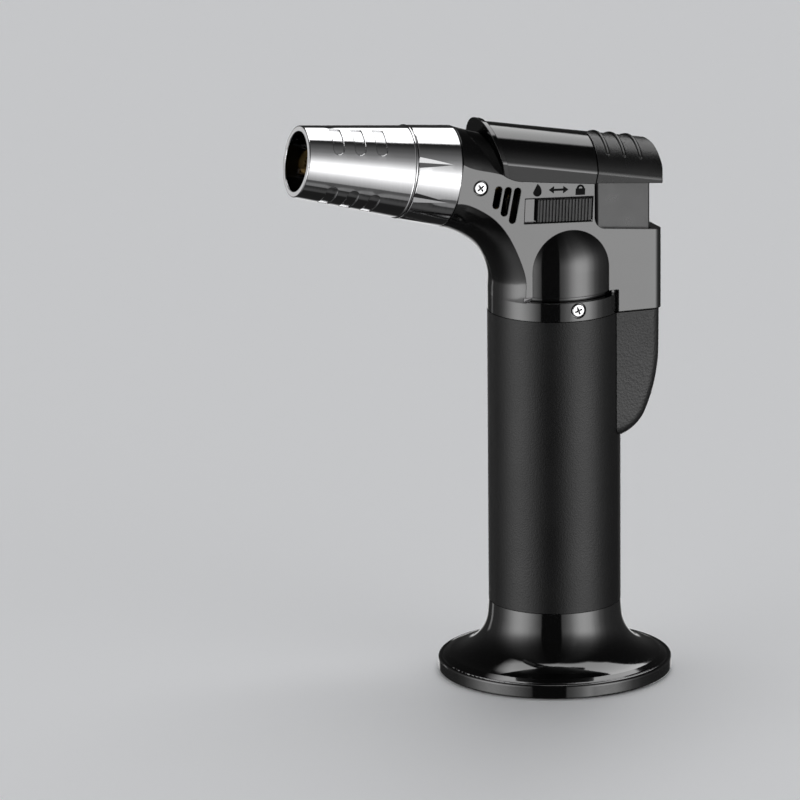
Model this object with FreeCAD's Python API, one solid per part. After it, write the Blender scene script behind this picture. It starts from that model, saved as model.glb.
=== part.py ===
import FreeCAD, Part
import math
import os

# Hand-held butane torch on a round foot. Millimetres and degrees.
# +Z is up the handle, the flame leaves towards -X, +Y is the torch's right-hand side.
# The origin is the centre of the foot's underside.

V = FreeCAD.Vector
O = V(0, 0, 0)
X_AXIS = V(1, 0, 0)
Y_AXIS = V(0, 1, 0)
Z_AXIS = V(0, 0, 1)
REACH = 60.0                  # longer than any cut needs

# Foot and handle
FOOT_R = 31.3
FOOT_RECESS_R = 26.5
FOOT_TOP_Z = 19.55
FOOT_RIM_Z = 3.9
SLEEVE_R = 17.7
SLEEVE_BORE_R = 16.2
SLEEVE_Z = (19.65, 99.15)
TANK_R = 16.1
TANK_BORE_R = 14.7
TANK_Z = (12.0, 96.0)
LID_RIM_R = (14.6, 16.0)
LID_Z = (96.05, 98.4)
LID_RIM_TOP_Z = 103.3

# Head
SIDE_Y = 12.3                 # half width of the flat sides
WALL = 1.2
RING_R = 17.65
RING_Z = (99.25, 104.3)
DOME_R = 16.4
DOME_CENTRE_Z = 111.9
ELBOW_PIVOT = (-36.9, 104.0)  # every section plane of the neck hinges on this line
NECK_STATIONS = (             # hinge angle, section radius, distance of its near side
    (0.0, 17.65, 19.25),
    (14.0, 17.65, 19.9),
    (26.0, 17.5, 20.3),
    (36.0, 16.5, 20.5),
    (46.0, 14.9, 20.5),
    (56.0, 13.8, 20.4),
    (67.0, 13.35, 20.45),
    (79.97, 13.36, 20.73),
)
BLOCK_REAR_X = 26.65
BLOCK_BOTTOM_Z = 99.45
BLOCK_CORNER_R = 3.0
NOTCH_X = 13.6                # the ring shows in a notch of the flat sides up to here
NOTCH_TOP_Z = 105.7
NOTCH_CORNER_R = 1.4
GROOVE_HEIGHT = 1.1           # the open line between the ring and what stands on it
CUT_OUT_X = 6.8               # front edge of the cut-out that the trigger shows in
CUT_OUT_R = 3.2
BLOCK_TOP_Z = (122.3, 120.7)  # at the cut-out's front corner and at the block's rear
CAVITY_SIDE_Y = 10.2          # the cavity's half width near the notch
VENT_COUNT = 3
VENT_R = 0.98

# Nozzle: its axis starts at the centre of the air ring's rear face and rises 10 degrees
NOZZLE_START = V(-30.96, 0, 137.56)
NOZZLE_RISE = 10.03
RING_LENGTH = 12.05
RING_REAR_R = 13.36
TUBE_REAR_R = 12.31
TUBE_MOUTH_R = 9.45
TUBE_START = 12.17
TUBE_END = 41.75
TUBE_WALL = 1.6
POCKETS_AT = (22.0, 27.85, 33.7)
POCKET_WIDTH = 2.7
POCKET_DEPTH = 0.45
POCKET_RIM_R = 0.22
JOURNAL_R = 10.95
JOURNAL_GAP = 0.05
MIXER_R = 4.0
MIXER_BORE_R = 3.0
ELECTRODE_OFFSET = 5.4
AIR_WINDOWS = 6
FLUTES = 8
FLUTE_TIP = 3.6
FLUTE_DEPTH = 0.34
FLUTE_HALF_WIDTH = 1.9

# Crown: the rounded roof shared by the top cover and the trigger cap
CROWN_R = 13.9
CROWN_CENTRE = 1.5            # above the nozzle axis
CROWN_EDGE_ANGLE = 23.0
COVER_WALL = 1.3
CREST_RISE = 0.7
RIDGES_AT = (-41.3, -46.0, -50.7)   # along the nozzle axis
RIDGE_R = 0.62
RIDGE_END_ANGLE = 46.0

# Trigger and what it works
SLIDER_X = (7.7, 23.2)
SLIDER_Y = 10.9
SLIDER_BOTTOM_Z = 117.0
LEVER_PIVOT = (4.2, 110.0)
LEVER_REAR_ARM = 9.8
LEVER_FRONT_ARM = 4.2
LEVER_PAD_R = 1.2
PIN_R = 0.9
PIEZO_X = (18.1, 23.6)
PIEZO_Y = 4.0
PIEZO_Z = (76.0, 105.5)
PLUNGER_TOP_Z = 111.15

# Lock slider in the left side
WINDOW_CENTRE = (-3.4, 128.4)
WINDOW_TILT = 2.7
WINDOW_SIZE = (18.8, 6.3)
KNOB_LENGTH = 15.2
RIB_COUNT = 16
SIGN_HEIGHT = 5.5             # of the signs' centres over the window's
SIGN_RAISE = 0.15

SCREW_HEAD_R = 1.75
SCREW_SHANK_R = 0.95
BURNER_SCREW_AT = (-25.3, 136.1)
RING_SCREW_Z = 102.1


# ---------- small helpers ----------

def box(x, y, z):
    """A box from three (low, high) pairs."""
    return Part.makeBox(x[1] - x[0], y[1] - y[0], z[1] - z[0], V(x[0], y[0], z[0]))


def rod(radius, start, end):
    """A round bar between two points."""
    run = end.sub(start)
    return Part.makeCylinder(radius, run.Length, start, run)


def ring(outer, inner, z):
    """A round tube about the handle axis, or about the nozzle axis before it is placed."""
    tube = Part.makeCylinder(outer, z[1] - z[0], V(0, 0, z[0]))
    hole = Part.makeCylinder(inner, z[1] - z[0], V(0, 0, z[0]))
    return tube.cut(hole)


def fuse(shapes):
    """One solid from several that meet or cross."""
    return shapes[0].multiFuse(shapes[1:]).removeSplitter()


def edges_through(items, place):
    """Lines between points; an item of two points is the middle and end of an arc."""
    edges = []
    last = place(*items[0])
    for item in items[1:]:
        if isinstance(item[0], tuple):
            middle = place(*item[0])
            end = place(*item[1])
            edges.append(Part.Arc(last, middle, end).toShape())
        else:
            end = place(*item)
            edges.append(Part.makeLine(last, end))
        last = end
    first = place(*items[0])
    if last.sub(first).Length > 1e-6:
        edges.append(Part.makeLine(last, first))
    return edges


def turned(items):
    """A solid of revolution about Z from a closed outline of (radius, z) points."""
    edges = edges_through(items, lambda r, z: V(r, 0, z))
    return Part.Face(Part.Wire(edges)).revolve(O, Z_AXIS, 360)


def side_prism(items, half_width):
    """A closed outline of (x, z) points, as thick as the torch is wide there."""
    edges = edges_through(items, lambda x, z: V(x, -half_width, z))
    return Part.Face(Part.Wire(edges)).extrude(V(0, 2 * half_width, 0))


def along_nozzle(shape):
    """Moves a shape built about +Z so that +Z runs out along the nozzle and +X is up."""
    placed = shape.copy()
    placed.rotate(O, Y_AXIS, NOZZLE_RISE - 90)
    placed.translate(NOZZLE_START)
    return placed


def nozzle_point(s, up, side=0.0):
    """The point s along the nozzle axis, and up and sideways from it."""
    rise = math.radians(NOZZLE_RISE)
    ahead = V(-math.cos(rise), 0, math.sin(rise)) * s
    above = V(math.sin(rise), 0, math.cos(rise)) * up
    return NOZZLE_START + ahead + above + V(0, side, 0)


def in_window_frame(shape):
    """Moves a shape built about the lock window's centre to its place in the left side."""
    placed = shape.copy()
    placed.rotate(O, Y_AXIS, WINDOW_TILT)
    placed.translate(V(WINDOW_CENTRE[0], 0, WINDOW_CENTRE[1]))
    return placed


def turned_copies(shape, count, first=0.0):
    """Copies of a shape, spread evenly about Z."""
    copies = []
    for index in range(count):
        copy = shape.copy()
        copy.rotate(O, Z_AXIS, first + 360.0 * index / count)
        copies.append(copy)
    return copies


def coil(radius, wire_r, z, turns):
    """A coil spring about Z between two heights."""
    low = z[0] + wire_r
    height = z[1] - z[0] - 2 * wire_r
    path = Part.makeHelix(height / turns, height, radius)
    path.translate(V(0, 0, low))
    section = Part.Wire(Part.makeCircle(wire_r, V(radius, 0, low), Y_AXIS))
    return Part.Wire(path).makePipeShell([section], True, True)


def rounded_route(points):
    """Straight runs joined by tangent arcs, through the given corner points."""
    edges = []
    last = points[0]
    for before, corner, after in zip(points, points[1:], points[2:]):
        back = before.sub(corner)
        ahead = after.sub(corner)
        half_turn = (math.pi - back.getAngle(ahead)) / 2
        cut = 0.45 * min(back.Length, ahead.Length)
        radius = cut / math.tan(half_turn)
        back.normalize()
        ahead.normalize()
        start = corner + back * cut
        end = corner + ahead * cut
        inward = back + ahead
        inward.normalize()
        middle = corner + inward * (radius / math.cos(half_turn) - radius)
        edges.append(Part.makeLine(last, start))
        edges.append(Part.Arc(start, middle, end).toShape())
        last = end
    edges.append(Part.makeLine(last, points[-1]))
    return Part.Wire(edges)


def along_route(route, radius):
    """A solid round section along a route."""
    first = route.Edges[0]
    start = first.valueAt(first.FirstParameter)
    section = Part.Wire(Part.makeCircle(radius, start, first.tangentAt(first.FirstParameter)))
    return route.makePipeShell([section], True, True)


# ---------- foot, handle and fuel ----------

def base_stand():
    """The flared foot: open underneath for refilling, with a socket for the tank above."""
    return turned([
        (FOOT_RECESS_R, 0.0),
        (FOOT_R - 0.5, 0.0),
        ((FOOT_R - 0.15, 0.15), (FOOT_R, 0.5)),
        (FOOT_R, FOOT_RIM_Z - 0.8),
        ((FOOT_R - 0.25, FOOT_RIM_Z - 0.2), (FOOT_R - 0.8, FOOT_RIM_Z)),
        (FOOT_R - 1.2, FOOT_RIM_Z - 0.1),
        (FOOT_R - 1.6, FOOT_RIM_Z + 0.15),
        (28.2, FOOT_RIM_Z + 0.75),
        ((21.6, 8.0), (17.95, 16.0)),
        (SLEEVE_R, FOOT_TOP_Z),
        (TANK_R + 0.15, FOOT_TOP_Z),
        (TANK_R + 0.15, TANK_Z[0] - 0.05),
        (14.5, TANK_Z[0] - 0.05),
        (14.5, 10.2),
        (18.6, 7.4),
        (22.0, 3.4),
        (FOOT_RECESS_R, 1.6),
    ])


def grip_sleeve():
    return ring(SLEEVE_R, SLEEVE_BORE_R, SLEEVE_Z)


def fuel_tank():
    """The cup that holds the liquid gas, with a hole for the filling valve in its floor."""
    floor_top = TANK_Z[0] + 2.5
    return turned([
        (3.05, TANK_Z[0]),
        (TANK_R - 1.0, TANK_Z[0]),
        ((TANK_R - 0.3, TANK_Z[0] + 0.3), (TANK_R, TANK_Z[0] + 1.0)),
        (TANK_R, TANK_Z[1]),
        (TANK_BORE_R, TANK_Z[1]),
        (TANK_BORE_R, floor_top + 1.5),
        ((TANK_BORE_R - 0.44, floor_top + 0.44), (TANK_BORE_R - 1.5, floor_top)),
        (3.05, floor_top),
    ])


def tank_lid():
    """Closes the tank, and its rim takes the screws of the head."""
    lid = turned([
        (3.55, 93.5),
        (TANK_BORE_R - 0.05, 93.5),
        (TANK_BORE_R - 0.05, LID_Z[0]),
        (TANK_R, LID_Z[0]),
        (TANK_R, LID_Z[1]),
        (LID_RIM_R[1], LID_Z[1]),
        (LID_RIM_R[1], LID_RIM_TOP_Z),
        (LID_RIM_R[0], LID_RIM_TOP_Z),
        (LID_RIM_R[0], LID_Z[1]),
        (3.55, LID_Z[1]),
    ])
    screw_holes = rod(1.0, V(0, -20, RING_SCREW_Z), V(0, 20, RING_SCREW_Z))
    return lid.cut(screw_holes)


def fill_valve_body():
    """The brass filling valve: its port opens downwards into the foot's recess."""
    return turned([
        (2.3, 9.2),
        (4.6, 9.2),
        (4.6, 11.95),
        (3.0, 11.95),
        (3.0, 20.0),
        (0.8, 20.0),
        (0.8, 19.0),
        (2.2, 19.0),
        (2.2, 13.0),
        (1.05, 13.0),
        (1.05, 11.6),
        (2.3, 11.6),
    ])


def fill_valve_stem():
    """The hollow pin that a refill can pushes up."""
    return turned([
        (0.4, 11.65),
        (0.95, 11.65),
        (0.95, 14.5),
        (1.9, 14.5),
        (1.9, 15.3),
        (1.0, 15.3),
        (1.0, 17.0),
        (0.4, 17.0),
    ])


def fill_valve_seal():
    return ring(2.15, 1.0, (13.05, 14.4))


def fill_valve_spring():
    return coil(1.55, 0.22, (15.35, 18.95), 3)


def fuel_wick():
    """The wick that brings liquid gas up to the outlet valve."""
    return Part.makeCylinder(1.5, 72.0, V(0, 0, 20.9))


def outlet_valve_body():
    """The outlet valve in the lid, with a barb for the hose on its front side."""
    body = turned([
        (0.7, 93.0),
        (3.5, 93.0),
        (3.5, 98.45),
        (4.8, 98.45),
        (4.8, 100.2),
        (3.2, 100.2),
        (3.2, 106.5),
        (1.15, 106.5),
        (1.15, 104.5),
        (2.2, 104.5),
        (2.2, 95.0),
        (0.7, 95.0),
    ])
    arm = rod(1.3, V(-2.5, 0, 103.3), V(-7.0, 0, 103.3))
    knuckle = Part.makeSphere(1.3, V(-7.0, 0, 103.3))
    barb = rod(0.85, V(-7.0, 0, 103.3), V(-7.0, 0, 109.0))
    passage = rod(0.45, V(-1.5, 0, 103.3), V(-7.2, 0, 103.3))
    riser = rod(0.45, V(-7.0, 0, 103.3), V(-7.0, 0, 109.5))
    hollow = Part.makeCylinder(2.2, 9.5, V(0, 0, 95.0))
    arm = fuse([arm, knuckle, barb]).cut(hollow)
    return fuse([body, arm]).cut(passage).cut(riser)


def outlet_valve_stem():
    """The pin that the lever lifts to let gas out."""
    return turned([
        (0, 96.25),
        (1.9, 96.25),
        (1.9, 97.0),
        (1.05, 97.0),
        (1.05, 110.85),
        (2.2, 110.85),
        (2.2, 111.75),
        (1.05, 111.75),
        (1.05, 113.2),
        (0, 113.2),
    ])


def outlet_valve_seal():
    return ring(2.1, 0.7, (95.05, 96.2))


def outlet_valve_spring():
    return coil(1.65, 0.25, (97.05, 104.45), 6)


# ---------- gas lever ----------

def lever_bracket():
    """A bent plate on the outlet valve, with an ear on each side for the lever's pin."""
    plate = box((-5.0, 5.7), (-4.7, 4.7), (100.25, 101.25))
    ears = [box((2.7, 5.7), side, (100.25, 111.6)) for side in ((-4.7, -3.5), (3.5, 4.7))]
    bracket = fuse([plate] + ears)
    bracket = bracket.cut(Part.makeCylinder(3.3, 2.0, V(0, 0, 100.0)))
    return bracket.cut(cross_bar(PIN_R + 0.01, 6.0, LEVER_PIVOT))


def cross_bar(radius, half_length, at):
    """A round bar across the torch at an (x, z) place."""
    return rod(radius, V(at[0], -half_length, at[1]), V(at[0], half_length, at[1]))


def lever_pin():
    return cross_bar(PIN_R, 5.0, LEVER_PIVOT)


def valve_lever():
    """The rocker: the trigger pushes its rear pad down and its forked front lifts the stem."""
    x, z = LEVER_PIVOT
    hub = cross_bar(1.6, 3.3, LEVER_PIVOT)
    rear_arm = box((x, x + LEVER_REAR_ARM), (-1.5, 1.5), (z - 0.6, z + 0.6))
    rear_pad = cross_bar(LEVER_PAD_R, 1.5, (x + LEVER_REAR_ARM, z))
    parts = [hub, rear_arm, rear_pad]
    for side in (-1, 1):
        near, far = sorted((side * 1.45, side * 2.9))
        parts.append(box((x - LEVER_FRONT_ARM, x), (near, far), (z - 0.6, z + 0.6)))
        tip = V(x - LEVER_FRONT_ARM, near, z)
        parts.append(rod(0.7, tip, tip + V(0, far - near, 0)))
    return fuse(parts).cut(cross_bar(PIN_R + 0.05, 4.0, LEVER_PIVOT))


# ---------- burner ----------

def sector_windows(inner, outer, s):
    """Six openings through a disc, each 30 degrees wide."""
    slab = ring(outer, inner, s)
    wedge = box((0, outer + 1), (-0.01, outer), s)
    wedge.rotate(O, Z_AXIS, -15)
    keep = box((0, outer + 1), (0, outer), s)
    keep.rotate(O, Z_AXIS, 15)
    window = slab.common(wedge.cut(keep))
    return turned_copies(window, AIR_WINDOWS, 30)


def burner_mount():
    """The plate at the barrel's mouth that carries the mixing tube and lets air through."""
    disc = Part.makeCylinder(11.2, 1.2, V(0, 0, -1.3))
    skirt = ring(11.2, 10.0, (-8.0, -1.3))
    mount = fuse([disc, skirt])
    mount = mount.cut(Part.makeCylinder(MIXER_R + 0.05, 3, V(0, 0, -2)))
    mount = mount.cut(Part.makeCylinder(1.15, 3, V(ELECTRODE_OFFSET, 0, -2)))
    mount = mount.cut(Part.makeCompound(sector_windows(7.2, 9.8, (-2.0, 1.0))))
    placed = along_nozzle(mount)
    placed = placed.common(box((-REACH, REACH), (-SIDE_Y + WALL + 0.1, SIDE_Y - WALL - 0.1), (0, 200)))
    x, z = BURNER_SCREW_AT
    return placed.cut(cross_bar(1.0, 20, (x, z)))


def mixing_tube():
    """The brass tube where the gas jet draws in air through four side holes."""
    tube = ring(MIXER_R, MIXER_BORE_R, (-14.0, 28.0))
    inlets = [rod(1.3, V(-6, 0, -11), V(6, 0, -11)), rod(1.3, V(0, -6, -11), V(0, 6, -11))]
    return along_nozzle(tube.cut(Part.makeCompound(inlets)))


def gas_jet():
    """The jet that plugs the mixing tube's rear end; the hose pushes on its lower barb."""
    plug = Part.makeCylinder(MIXER_BORE_R - 0.05, 1.5, V(0, 0, -14.05))
    head = Part.makeCylinder(3.3, 6.45, V(0, 0, -20.5))
    jet = along_nozzle(fuse([plug, head]))
    top = V(-12.0, 0, 134.2)
    barb = rod(0.85, top, V(-12.0, 0, 126.5))
    bore = along_nozzle(Part.makeCylinder(0.3, 8.0, V(0, 0, -19.3)))
    riser = rod(0.45, top, V(-12.0, 0, 126.0))
    return fuse([jet, barb]).cut(bore).cut(riser)


def gas_hose():
    """The soft tube from the outlet valve up to the jet."""
    route = rounded_route([V(-7, 0, 105.2), V(-7, 0, 112.5), V(-12, 0, 121.5), V(-12, 0, 130.0)])
    outside = along_route(route, 1.5)
    return outside.cut(along_route(route, 0.9))


def flame_holder():
    """The brass cap on the mixing tube, where the flame sits on a ring of small holes."""
    cap = Part.makeCylinder(5.0, 5.4, V(0, 0, 24.0))
    cap = cap.cut(Part.makeCylinder(MIXER_R + 0.05, 4.05, V(0, 0, 24.0)))
    hole = Part.makeCylinder(0.55, 3, V(1.95, 0, 27.5))
    holes = turned_copies(hole, 8) + [Part.makeCylinder(0.8, 3, V(0, 0, 27.5))]
    return along_nozzle(cap.cut(Part.makeCompound(holes)))


def electrode_insulator():
    tube = Part.makeCylinder(1.1, 30.0, V(ELECTRODE_OFFSET, 0, -6.5))
    return along_nozzle(tube.cut(Part.makeCylinder(0.4, 31, V(ELECTRODE_OFFSET, 0, -7))))


def spark_electrode():
    """The wire that the spark jumps from, bent over the flame holder."""
    bend = V(ELECTRODE_OFFSET, 0, 30.6)
    stem = rod(0.35, V(ELECTRODE_OFFSET, 0, -8.0), bend)
    tip = rod(0.35, bend, V(2.6, 0, 31.6))
    return along_nozzle(fuse([stem, Part.makeSphere(0.35, bend), tip]))


def tube_radius(s):
    share = (s - RING_LENGTH) / (TUBE_END - RING_LENGTH)
    return TUBE_REAR_R + (TUBE_MOUTH_R - TUBE_REAR_R) * share


def pressed_pockets():
    """Four sets of three shallow grooves that run part way round the tube, round at one end."""
    half = POCKET_WIDTH / 2
    outer_end = 4.1
    round_end = outer_end - half
    row = []
    for s in POCKETS_AT:
        x = (tube_radius(s) - 4, tube_radius(s) + 3)
        bar = box(x, (-round_end, outer_end), (s - half, s + half))
        row.append(fuse([bar, rod(half, V(x[0], -round_end, s), V(x[1], -round_end, s))]))
    low = 14.0
    high = 39.0
    floor = [tube_radius(s) - POCKET_DEPTH for s in (low, high)]
    core = Part.makeCone(floor[0], floor[1], high - low, V(0, 0, low))
    upper_left = Part.makeCompound(row).cut(core)
    upper_left.rotate(O, Z_AXIS, -40)
    left = [upper_left, upper_left.mirror(O, X_AXIS)]
    return Part.makeCompound(left + [pocket.mirror(O, Y_AXIS) for pocket in left])


def flame_tube():
    """The tapered chrome tube, with a rear skirt that the air ring turns on."""
    lip = 0.3
    inner_lip = 0.2
    mouth_bore = TUBE_MOUTH_R - TUBE_WALL
    tube = turned([
        (JOURNAL_R - 0.85, 1.6),
        (JOURNAL_R, 1.6),
        (JOURNAL_R, TUBE_START),
        (TUBE_REAR_R - 0.2, TUBE_START),
        ((TUBE_REAR_R + 0.1, TUBE_START + 0.45), (tube_radius(13.1) - 0.1, 13.1)),
        (TUBE_MOUTH_R, TUBE_END - lip),
        ((TUBE_MOUTH_R - 0.3 * lip, TUBE_END - 0.3 * lip), (TUBE_MOUTH_R - lip, TUBE_END)),
        (mouth_bore + inner_lip, TUBE_END),
        ((mouth_bore + 0.3 * inner_lip, TUBE_END - 0.3 * inner_lip), (mouth_bore, TUBE_END - inner_lip)),
        (tube_radius(14.4) - TUBE_WALL, 14.4),
        (MIXER_R + 0.05, 14.4),
        (MIXER_R + 0.05, 13.2),
        (JOURNAL_R - 0.85, 13.2),
    ])
    tube = tube.cut(pressed_pockets()).Solids[0]
    tube = tube.makeFillet(POCKET_RIM_R, [e for e in tube.Edges if is_pocket_rim(e)])
    vents = turned_copies(Part.makeCylinder(1.7, 3, V(7.9, 0, 12.7)), 8, 22.5)
    electrode_hole = Part.makeCylinder(1.15, 3, V(ELECTRODE_OFFSET, 0, 12.5))
    return along_nozzle(tube.cut(Part.makeCompound(vents)).cut(electrode_hole))


def is_pocket_rim(edge):
    """Whether an edge lies on the tube's outside and belongs to a pocket."""
    middle = edge.valueAt((edge.FirstParameter + edge.LastParameter) / 2)
    if not POCKETS_AT[0] - POCKET_WIDTH < middle.z < POCKETS_AT[-1] + POCKET_WIDTH:
        return False
    out = math.hypot(middle.x, middle.y)
    run = abs(edge.valueAt(edge.LastParameter).z - edge.valueAt(edge.FirstParameter).z)
    return run < 2 * POCKET_WIDTH and abs(out - tube_radius(middle.z)) < 0.2


def flute():
    """The cutter of one flute: a V groove that deepens from its tip to the ring's front."""
    ring_taper = (RING_REAR_R - TUBE_REAR_R) / RING_LENGTH
    tip_r = RING_REAR_R - ring_taper * FLUTE_TIP
    fall = (tip_r - TUBE_REAR_R + FLUTE_DEPTH) / (RING_LENGTH - FLUTE_TIP)
    spread = FLUTE_HALF_WIDTH / FLUTE_DEPTH
    top = RING_REAR_R + 0.6
    front = RING_LENGTH + 1.0
    keel_r = tip_r - fall * (front - FLUTE_TIP)
    half = spread * (top - keel_r)
    rear = V(top, 0, FLUTE_TIP - (top - tip_r) / fall)
    keel = V(keel_r, 0, front)
    left = V(top, -half, front)
    right = V(top, half, front)
    sides = [(rear, left, right), (rear, keel, left), (rear, right, keel), (keel, right, left)]
    faces = [Part.Face(Part.makePolygon([a, b, c, a])) for a, b, c in sides]
    return Part.Solid(Part.Shell(faces))


def air_ring():
    """The fluted ring: turning it slides its windows off those of the burner mount."""
    bore = JOURNAL_R + JOURNAL_GAP
    body = turned([
        (6.8, 0.15),
        (RING_REAR_R - 0.35, 0.15),
        ((RING_REAR_R - 0.1, 0.25), (RING_REAR_R, 0.5)),
        (TUBE_REAR_R + 0.02, RING_LENGTH - 0.15),
        (TUBE_REAR_R - 0.13, RING_LENGTH),
        (bore, RING_LENGTH),
        (bore, 1.35),
        (6.8, 1.35),
    ])
    body = body.cut(Part.makeCompound(turned_copies(flute(), FLUTES, 22.5)))
    return along_nozzle(body.cut(Part.makeCompound(sector_windows(7.2, 9.8, (0.0, 2.0)))))


# ---------- head shells ----------

def neck(inset):
    """The round neck that bends from the handle into the barrel, as sections hinged on a line."""
    wires = []
    for angle, radius, near_side in NECK_STATIONS:
        circle = Part.makeCircle(radius - inset)
        circle.rotate(O, Z_AXIS, 90)
        circle.translate(V(near_side + radius, 0, 0))
        circle.rotate(O, Y_AXIS, -angle)
        circle.translate(V(ELBOW_PIVOT[0], 0, ELBOW_PIVOT[1]))
        wires.append(Part.Wire(circle))
    return Part.makeLoft(wires, True, False)


def side_slab(half_width):
    return box((-REACH, REACH), (-half_width, half_width), (0, 200))


def cover_line_region(half_width):
    """Everything above the line where the head shells end and the top cover begins."""
    return side_prism([
        (-18.9, 139.1),
        ((-16.3, 137.55), (-12.8, 136.85)),
        (-8.7, 136.3),
        (7.0, 134.6),
        (9.3, 152.0),
        (-21.9, 154.5),
    ], half_width)


def flat_body(half_width):
    """The flat-sided part of the head, with the notch that shows the ring."""
    notch_r = NOTCH_CORNER_R
    body = side_prism([
        (0.0, RING_Z[1]),
        (10.3, RING_Z[1]),
        (10.3, NOTCH_TOP_Z),
        (NOTCH_X - notch_r, NOTCH_TOP_Z),
        ((NOTCH_X - 0.3 * notch_r, NOTCH_TOP_Z - 0.3 * notch_r), (NOTCH_X, NOTCH_TOP_Z - notch_r)),
        (NOTCH_X, BLOCK_BOTTOM_Z),
        (BLOCK_REAR_X, BLOCK_BOTTOM_Z),
        (BLOCK_REAR_X, 130.0),
        (CUT_OUT_X, 137.5),
        (-15.0, 141.0),
        (-19.0, 139.6),
        (-19.95, 133.4),
        (-10.1, 128.1),
        (-1.5, 116.9),
    ], half_width)
    plan = box((-REACH, BLOCK_REAR_X), (-half_width, half_width), (0, 200))
    rear_edges = [e for e in plan.Edges if upright(e) and e.CenterOfMass.x > 0]
    return body.common(plan.makeFillet(BLOCK_CORNER_R, rear_edges))


def cut_out_region():
    """All that lies over the block and behind the cut-out's front edge, with a round lower corner."""
    x = CUT_OUT_X
    front_z, rear_z = BLOCK_TOP_Z
    return side_prism([
        (REACH, rear_z),
        (BLOCK_REAR_X, rear_z),
        (x + CUT_OUT_R, front_z),
        ((x + 0.293 * CUT_OUT_R, front_z + 0.293 * CUT_OUT_R), (x, front_z + CUT_OUT_R)),
        (x, 160.0),
        (REACH, 160.0),
    ], 30.0)


def upright(edge):
    run = edge.valueAt(edge.LastParameter).sub(edge.valueAt(edge.FirstParameter))
    return abs(run.x) < 1e-6 and abs(run.y) < 1e-6


def capsule(radius, low):
    """An upright cylinder with a round top, the bulge on each flat side."""
    slant = radius * math.sqrt(0.5)
    return turned([
        (0, low),
        (radius, low),
        (radius, DOME_CENTRE_Z),
        ((slant, DOME_CENTRE_Z + slant), (0, DOME_CENTRE_Z + radius)),
    ])


def head_cavity():
    """The space inside the head shells."""
    inside = SIDE_Y - WALL
    room = side_prism([
        (0.0, 99.0),
        (BLOCK_REAR_X - 1.4, 99.0),
        (BLOCK_REAR_X - 1.4, 119.3),
        (SLIDER_X[1] + 0.3, 119.5),
        (SLIDER_X[1] + 0.3, 145.0),
        (-17.0, 145.0),
        (-19.95, 133.4),
        (-10.1, 128.1),
        (-1.5, 116.9),
    ], inside)
    for y in ((-SIDE_Y, -CAVITY_SIDE_Y), (CAVITY_SIDE_Y, SIDE_Y)):
        room = room.cut(box((8.0, 15.5), y, (98.0, NOTCH_TOP_Z + 0.7)))
    round_neck = neck(1.5).common(side_slab(inside))
    barrel = along_nozzle(Part.makeCylinder(11.3, 8.8, V(0, 0, -8.7))).common(side_slab(inside))
    socket = Part.makeCylinder(SLEEVE_BORE_R, RING_Z[1] - 99.0, V(0, 0, 99.0))
    bulges = capsule(DOME_R - 1.4, 102.0)
    return fuse([room, round_neck, barrel, socket, bulges])


def vent_slots():
    """Leaning slots through each side that let air in to the mixing tube."""
    slots = []
    for index in range(VENT_COUNT):
        top = V(-20.3 + 2.65 * index, 0, 135.2 - 0.4 * index)
        low = V(-21.1 + 2.3 * index, 0, 131.2 - 2.15 * index)
        run = top.sub(low)
        bar = box((-VENT_R, VENT_R), (-20, 20), (0, run.Length))
        bar.rotate(O, Y_AXIS, math.degrees(math.atan2(run.x, run.z)))
        bar.translate(low)
        round_ends = [cross_bar(VENT_R, 20, (end.x, end.z)) for end in (top, low)]
        slots.append(fuse([bar] + round_ends))
    return Part.makeCompound(slots).cut(side_slab(SIDE_Y - WALL - 0.6))


def head_outside():
    """The head shells' outer form, both sides together."""
    base_ring = Part.makeCylinder(RING_R, RING_Z[1] - RING_Z[0], V(0, 0, RING_Z[0]))
    round_neck = neck(0.0).common(side_slab(SIDE_Y))
    form = fuse([base_ring, round_neck, flat_body(SIDE_Y), capsule(DOME_R, 103.0)])
    groove = ring(20.0, DOME_R - 0.6, (RING_Z[1], RING_Z[1] + GROOVE_HEIGHT))
    front = groove.common(box((-13.2, 8.5), (-25, 25), (100, 110))).cut(side_slab(SIDE_Y - 0.8))
    rear = groove.common(box((8.5, NOTCH_X), (-25, 25), (100, 110))).cut(side_slab(CAVITY_SIDE_Y + 0.5))
    return form.cut(front).cut(rear).cut(cut_out_region())


def head_shells():
    """The left and right halves, parted down the middle."""
    shell = head_outside().cut(cover_line_region(30.0)).cut(head_cavity())
    shell = shell.cut(vent_slots())
    shell = shell.cut(screw_seat_cuts())
    floor = in_window_frame(box((-10.8, 9.7), (-11.2, -10.1), (-4.4, 4.4)))
    floor = floor.cut(cut_out_space())
    half_x = WINDOW_SIZE[0] / 2
    half_z = WINDOW_SIZE[1] / 2
    pocket = in_window_frame(box((-half_x, half_x), (-20, -11.15), (-half_z, half_z)))
    rim = in_window_frame(window_rim(half_x, half_z))
    slot = in_window_frame(box((-4.6, 7.5), (-12, -9), (-1.05, 1.05)))
    left = shell.common(box((-REACH, REACH), (-30, 0), (0, 200)))
    left = left.fuse(floor).cut(pocket).cut(rim).cut(slot).removeSplitter()
    right = shell.common(box((-REACH, REACH), (0, 30), (0, 200)))
    return left, right


def window_rim(half_x, half_z):
    """The sloped rim round the lock's window."""
    wires = []
    for y, wider in ((-SIDE_Y + 0.3, 0.0), (-SIDE_Y - 0.1, 0.4)):
        x = half_x + wider
        z = half_z + wider
        corners = [V(-x, y, -z), V(x, y, -z), V(x, y, z), V(-x, y, z)]
        wires.append(Part.makePolygon(corners + corners[:1]))
    return Part.makeLoft(wires, True, True)


def cut_out_space():
    """The space behind the cut-out's front edge, which the trigger slides in."""
    return box((CUT_OUT_X - 0.05, REACH), (-30, 30), (110, 140))


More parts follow.
